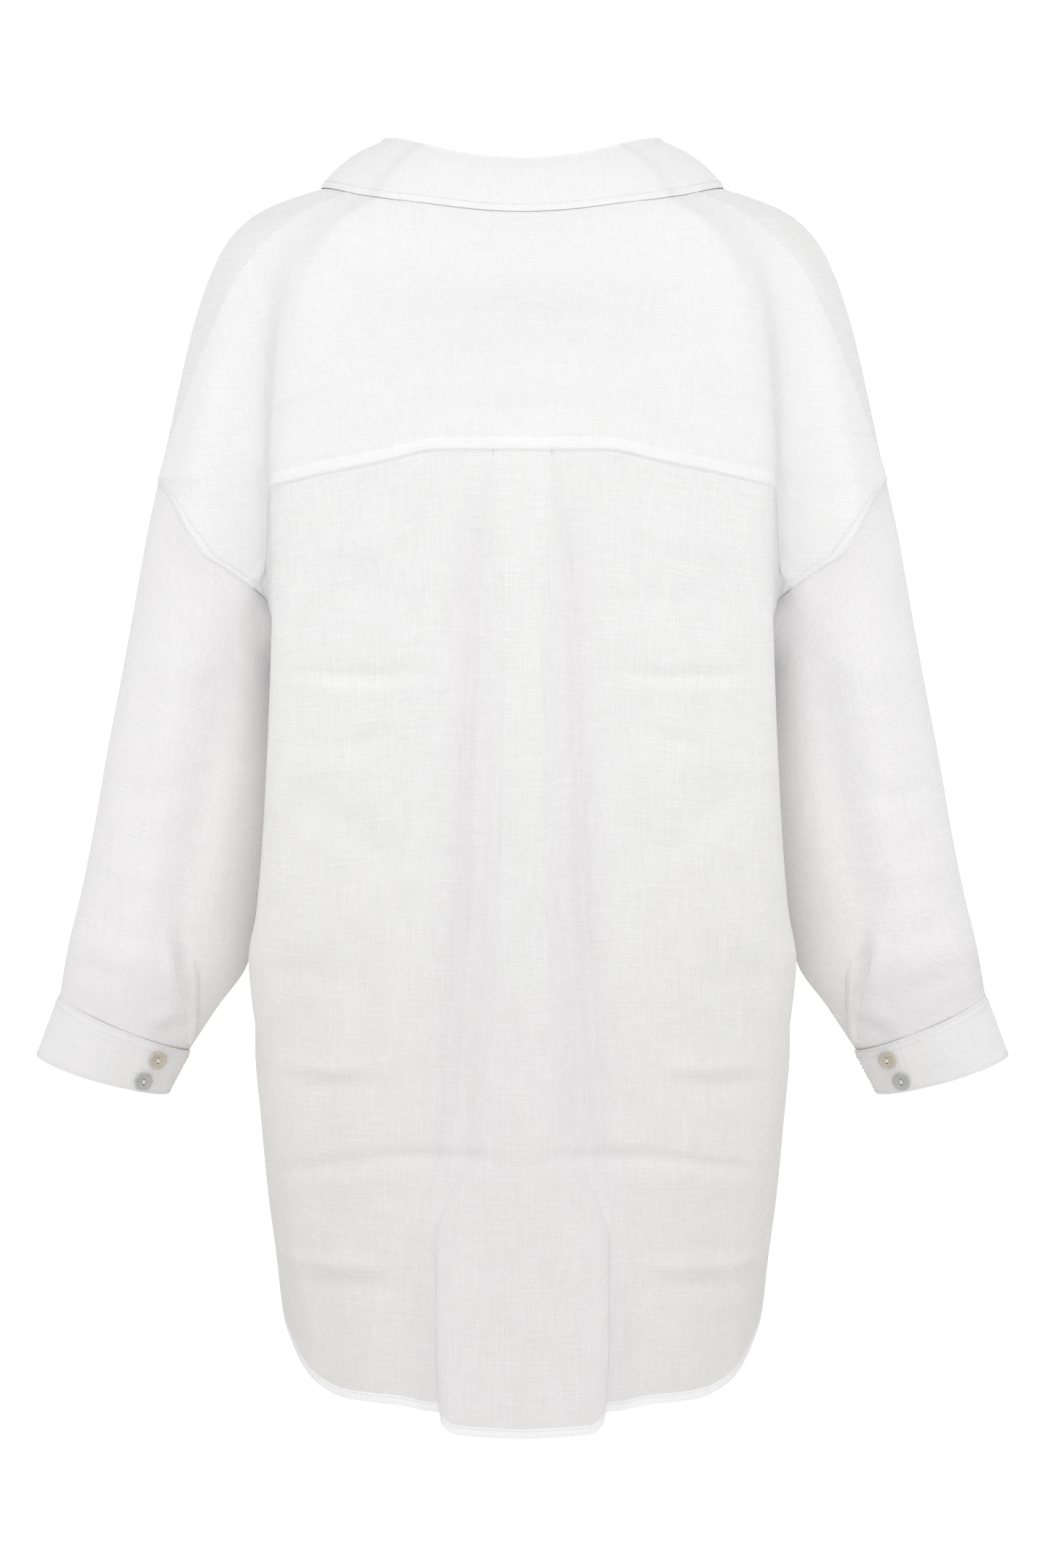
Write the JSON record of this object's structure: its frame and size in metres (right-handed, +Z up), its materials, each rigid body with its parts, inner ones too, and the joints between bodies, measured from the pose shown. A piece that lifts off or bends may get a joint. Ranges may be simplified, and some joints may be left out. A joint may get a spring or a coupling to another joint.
{
  "type": "tunic top",
  "caption": "Long linen tunic shirt, filled out as worn, with a turned-down collar, back yoke, centre box pleat, drop shoulders, buttoned cuffs and a curved high-low hem.",
  "frame": {"origin": "between the wearer's shoulders, under the collar, level with the collar's outer corners, where the wearer carries the garment", "axes": "+Z up; +Y towards the garment's front, so its back faces -Y; +X to the wearer's right arm as seen from behind"},
  "size_m": [0.6862, 0.2601, 0.9084],
  "materials": {
    "linen": "white plain-weave linen with slubs, matte, slightly sheer where single",
    "button_cream": "cream shell, soft gloss",
    "button_grey": "blue-grey shell, soft gloss"
  },
  "bodies": {
    "root": {"back_panel": "linen", "front_panel": "linen", "yoke": "linen", "collar_stand": "linen", "collar_fall": "linen", "sleeve_left": "linen", "sleeve_right": "linen", "placket_left": "linen", "placket_right": "linen", "cuff_left": "linen", "cuff_right": "linen", "button_left_upper": "button_cream", "button_left_lower": "button_grey", "button_right_upper": "button_cream", "button_right_lower": "button_grey"}
  },
  "joints": []
}
